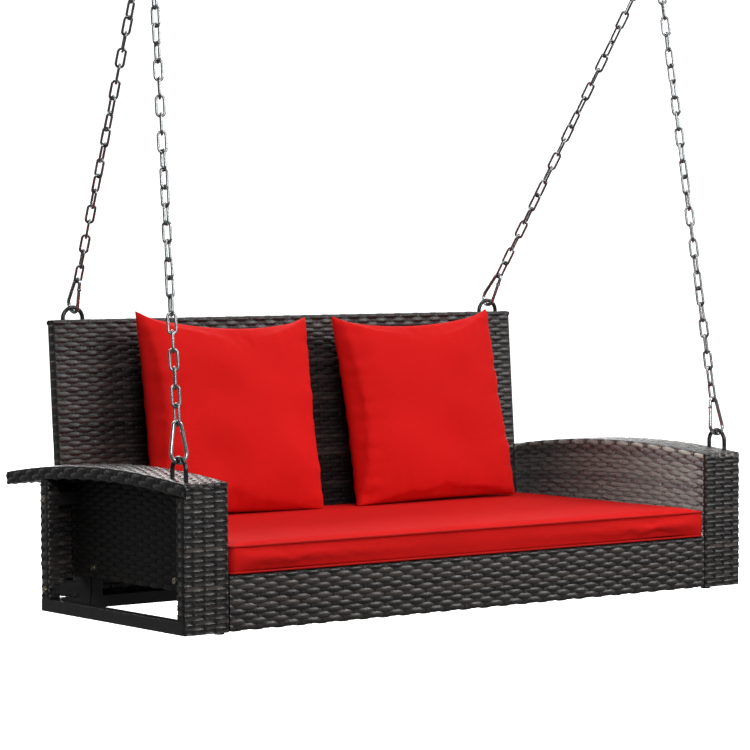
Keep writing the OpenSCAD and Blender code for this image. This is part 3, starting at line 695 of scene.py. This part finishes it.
def seat_pad():
    """Boxed cushion: a crowned top, a bulging border, and piping along both edges."""
    wx, d = IN_X - 1.6, 548.0

    def plan(inset, z):
        """The cushion's outline at one height: a rectangle with rounded corners."""
        r = max(2.0, 9 - inset)
        xs, ys = wx - inset, (d / 2) - inset
        pts = []
        corners = ((xs - r, ys - r, 0), (-xs + r, ys - r, 90), (-xs + r, -ys + r, 180),
                   (xs - r, -ys + r, 270))
        for cx, cy, a0 in corners:
            for k in range(6):
                t = math.radians(a0 + 18 * k)
                pts.append((cx + r * math.cos(t), cy + r * math.sin(t)))
        pts = np.array(pts + [pts[0]])
        seg = np.r_[0, np.cumsum(np.linalg.norm(np.diff(pts, axis=0), axis=1))]
        s = np.linspace(0, seg[-1], 520, endpoint=False)
        return np.stack([np.interp(s, seg, pts[:, 0]), np.interp(s, seg, pts[:, 1]), np.full(len(s), z)], -1)

    rings = [plan(6.0, 1.0), plan(2.6, 1.8)]
    for k in range(1, 8):
        t = k / 8
        rings.append(plan(2.6 - 2.4 * math.sin(math.pi * t), 2.0 + 43.0 * t))
    rings += [plan(2.6, 45.6), plan(6.0, 47.2)]
    ring = np.array(rings)
    m = ring.shape[1]
    idx = np.arange(ring.shape[0] * m).reshape(-1, m)
    wall = np.stack([idx[:-1], np.roll(idx[:-1], -1, 1), np.roll(idx[1:], -1, 1), idx[1:]], -1)
    quads = [wall.reshape(-1, 4)]
    pts = [ring.reshape(-1, 3)]
    base = ring.shape[0] * m
    for top in (True, False):
        outer = idx[-1] if top else idx[0]
        edge = ring[-1] if top else ring[0]
        layers, prev = 44, outer
        for k in range(1, layers + 1):
            inset = k / layers * (d / 2 - 6)
            p = edge.copy()
            lim_x, lim_y = wx - 6 - inset, d / 2 - 6 - inset
            p[:, 0] = np.clip(edge[:, 0], -lim_x, lim_x)
            p[:, 1] = edge[:, 1] * max(0.0, lim_y) / (d / 2 - 6)
            p[:, 2] = edge[:, 2] + (4.6 * math.sin(math.pi / 2 * min(1, inset / 130)) if top else -0.4)
            pts.append(p)
            cur = np.arange(m) + base
            base += m
            q = np.stack([prev, np.roll(prev, -1), np.roll(cur, -1), cur], -1)
            quads.append(q if top else q[:, ::-1])
            prev = cur
    pts, quads = np.concatenate(pts), np.concatenate(quads)
    o = grid_object("seat_cushion_soft", pts, quads)
    merge = o.modifiers.new("weld", "WELD")
    merge.merge_threshold = 0.0004
    me = bpy.data.meshes.new_from_object(o.evaluated_get(bpy.context.evaluated_depsgraph_get()))
    o.modifiers.clear()
    o.data = me
    simulate(o, 1.6, 5.0, stiff=40)
    co = np.zeros(len(o.data.vertices) * 3)
    o.data.vertices.foreach_get("co", co)
    co = co.reshape(-1, 3) / MM
    co[:, 0] = np.clip(co[:, 0], -wx - 1.0, wx + 1.0)
    co[:, 1] = np.clip(co[:, 1], -d / 2 - 2.0, d / 2)
    co[:, 2] = np.clip(co[:, 2], 0.0, 53.5)
    o.data.vertices.foreach_set("co", (co * MM).astype(np.float32).ravel())
    smooth(o)
    at = SEAT @ Matrix.Translation(Vector((0, 272.0, DECK + 0.9)) * MM)
    settle(o, RED, "seat_cushion", ["seat_cushion"], at)
    for tag, z in (("top", 46.3), ("bottom", 1.6)):
        tube("seat_cushion_piping_" + tag, plan(3.4, z), 1.9, PIPING, "seat_cushion", at)


seat_pad()
pillow("back_cushion_left_soft", "back_cushion_left", (-204, 499, 334), 2.2, 12, 2.8, (404.0, 393.0), 3)
pillow("back_cushion_right_soft", "back_cushion_right", (254.5, 499, 333), 1, 11.5, -1.2, seed=8)


# ---------------------------------------------------------------- studio and camera
def area(name, at, target, size, power, colour=(1, 1, 1)):
    data = bpy.data.lights.new(name, "AREA")
    data.shape, data.size, data.size_y = "RECTANGLE", size[0], size[1]
    data.energy, data.color = power, colour
    o = bpy.data.objects.new(name, data)
    bpy.context.scene.collection.objects.link(o)
    o.location = at
    o.rotation_euler = (Vector(target) - Vector(at)).to_track_quat("-Z", "Y").to_euler()
    o.visible_camera = False
    return o


def only(name, light, part):
    """Keeps a light off every piece whose name lacks the given part."""
    lit = bpy.data.collections.new(name)
    for o in bpy.data.objects:
        if part in o.name:
            lit.objects.link(o)
    light.light_linking.receiver_collection = lit


FLOOR_Z = -0.42
floor = bpy.data.meshes.new("floor")
floor.from_pydata([(-30, -30, 0), (30, -30, 0), (30, 30, 0), (-30, 30, 0)], [], [(0, 1, 2, 3)])
floor = bpy.data.objects.new("floor", floor)
floor.location = (0, 0, FLOOR_Z)
floor.visible_diffuse = floor.visible_glossy = False
bpy.context.scene.collection.objects.link(floor)
pale = Nodes("studio_floor")
greys = [(0.3, (0.86, 0.86, 0.86)), (0.7, (0.9, 0.9, 0.9))]
pale.set(color=pale.ramp(pale.noise(pale.place(), 0.6, 2), greys), rough=0.9)
pale.bsdf.inputs["Emission Color"].default_value = (1, 1, 1, 1)
pale.bsdf.inputs["Emission Strength"].default_value = 1.0
floor.data.materials.append(pale.mat)

BRIGHT_SIDE = (0.75, 0.6, 0.3)
# White backdrop to the camera; the room is brighter to the rear right and dim in front
world = bpy.data.worlds.new("studio")
world.use_nodes = True
tree = world.node_tree
bg = tree.nodes["Background"]


def world_node(kind, inputs, **props):
    n = tree.nodes.new("ShaderNode" + kind)
    for k, v in props.items():
        setattr(n, k, v)
    for k, v in inputs.items():
        if isinstance(v, bpy.types.NodeSocket):
            tree.links.new(v, n.inputs[k])
        else:
            n.inputs[k].default_value = v
    return n


direction = world_node("TexCoord", {}).outputs["Generated"]
facing = world_node("VectorMath", {0: direction, 1: BRIGHT_SIDE}, operation="DOT_PRODUCT").outputs["Value"]
room = world_node("MapRange", {0: facing, 1: 0.0, 2: 0.9, 3: 0.15, 4: 0.6}).outputs[0]
seen = world_node("LightPath", {}).outputs["Is Camera Ray"]
strength = world_node("Mix", {0: seen, 2: room, 3: 1.0}).outputs[0]
bg.inputs["Color"].default_value = (1, 1, 1, 1)
tree.links.new(strength, bg.inputs["Strength"])
bpy.context.scene.world = world
area("front_right", (2.2, -1.9, 2.5), (0, 0, 0.3), (1.8, 1.2), 66)
area("front_left", (-1.6, -3.2, 2.6), (0, 0, 0.3), (1.8, 1.4), 74)
area("top", (0.1, -0.3, 3.2), (0, 0, 0.2), (1.6, 1.2), 28)
area("rear", (-0.1, 2.3, 1.5), (0.2, 0, 0.2), (1.8, 1.0), 50)
area("rear_low", (1.9, 2.7, 0.05), (0, 0, 0.2), (3.4, 0.9), 60)
# Two lights reach chosen pieces only: one grazes the arms from behind, one fills the right arm
only("arm_tops", area("rear_arms", (-0.1, 2.3, 1.5), (0.2, 0, 0.2), (1.8, 1.0), 110), "arm_weave_strands")
inner = area("inner_left", (-0.7, -1.5, 0.9), (0.56, -0.32, 0.22), (0.3, 0.3), 8.5, (0.84, 1, 1))
inner.data.spread = math.radians(24)
only("right_arm", inner, "arm_weave_strands_right")
bpy.context.scene.view_settings.view_transform = "Standard"

# The camera is placed in the seat's own frame, so it follows the tilt
EYE = (-3369.16, -4214.66, 641.56)
YAW, PITCH_CAM, ROLL = 0.6392, -0.0409, -0.0045
LENS, SENSOR = 144.754, 36.0
fwd = Vector((math.sin(YAW) * math.cos(PITCH_CAM), math.cos(YAW) * math.cos(PITCH_CAM), math.sin(PITCH_CAM)))
right = Vector((math.cos(YAW), -math.sin(YAW), 0))
up = right.cross(fwd)
cr, sr = math.cos(ROLL), math.sin(ROLL)
right, up = right * cr + up * sr, up * cr - right * sr
pose = Matrix([[right[i], up[i], -fwd[i], 0] for i in range(3)] + [[0, 0, 0, 1]])
cam = bpy.data.cameras.new("camera")
cam.sensor_width, cam.lens = SENSOR, LENS
cam.clip_end = 100.0
cam_o = bpy.data.objects.new("camera", cam)
bpy.context.scene.collection.objects.link(cam_o)
cam_o.matrix_world = SEAT @ Matrix.Translation(Vector(EYE) * MM) @ pose
bpy.context.scene.camera = cam_o
